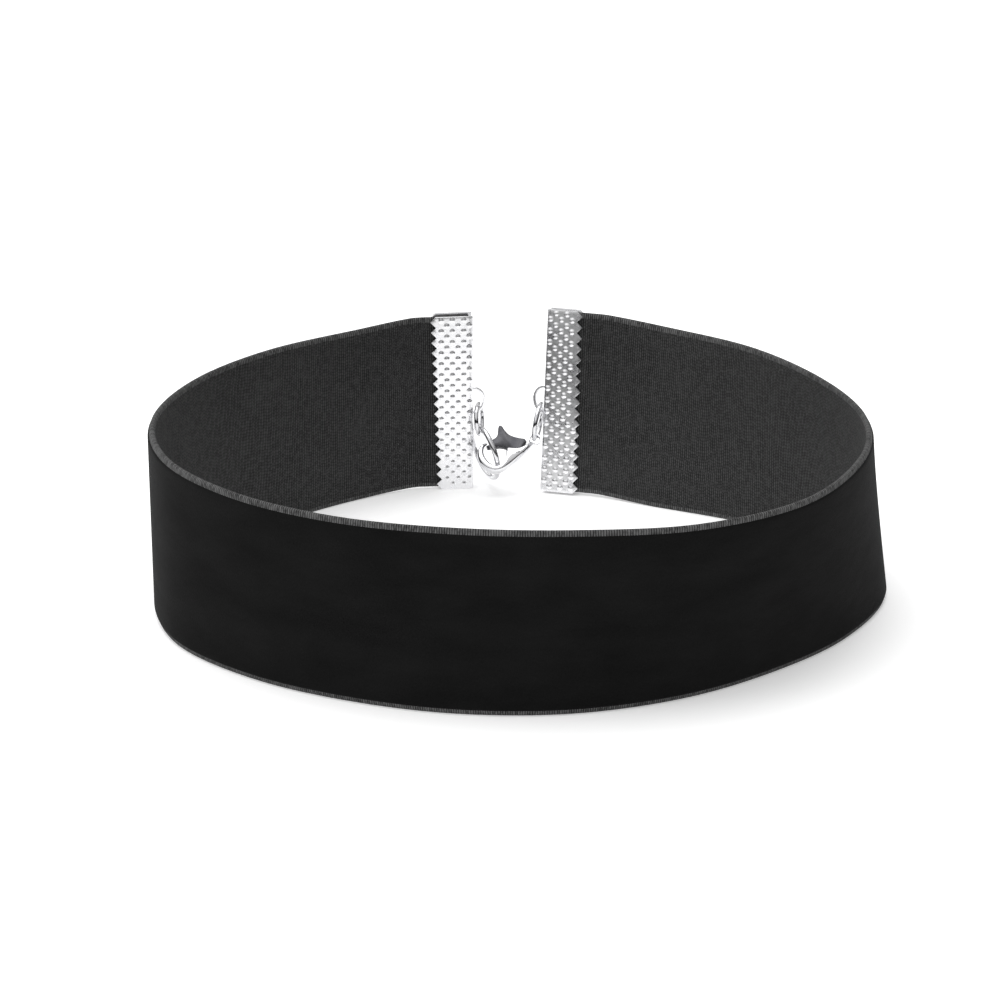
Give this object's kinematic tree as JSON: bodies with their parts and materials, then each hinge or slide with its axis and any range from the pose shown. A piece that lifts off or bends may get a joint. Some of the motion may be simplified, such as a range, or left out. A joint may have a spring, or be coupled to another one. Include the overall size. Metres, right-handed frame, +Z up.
{
  "type": "velvet ribbon choker necklace",
  "caption": "Wide velvet ribbon choker closed behind the neck by folded metal end crimps, jump rings and a sprung lobster clasp.",
  "frame": {"origin": "under the middle of the whole choker's box, on the surface that the ribbon's lower edge stands on", "axes": "+Z up along the ribbon's width, +Y towards the clasp at the back of the neck, +X to the right seen from the front"},
  "size_m": [0.1148, 0.1072, 0.0305],
  "materials": {
    "velvet_ribbon": "short cut pile outside, ribbed woven back inside, matt",
    "plated_sheet": "bright plated sheet with raised dots",
    "plated_wire": "bright plated wire",
    "plated_casting": "polished bright plated casting",
    "clasp_lever_steel": "darker plated steel blade"
  },
  "bodies": {
    "root": {"ribbon": "velvet_ribbon", "crimp_left": "plated_sheet", "crimp_right": "plated_sheet", "jump_ring_left": "plated_wire", "jump_ring_middle": "plated_wire", "jump_ring_right": "plated_wire", "clasp_body": "plated_casting", "clasp_pivot": "plated_casting"},
    "clasp_lever": {"clasp_lever": "clasp_lever_steel"}
  },
  "joints": [
    {"name": "lever_hinge", "type": "hinge", "parent": "root", "child": "clasp_lever", "pos_m": [-0.00031, 0.04593, 0.00675], "axis": [0.0447, -0.6888, 0.7236], "range_deg": [0, 18], "stiffness_Nm_per_rad": 0.01, "springref_deg": -17.19}
  ]
}
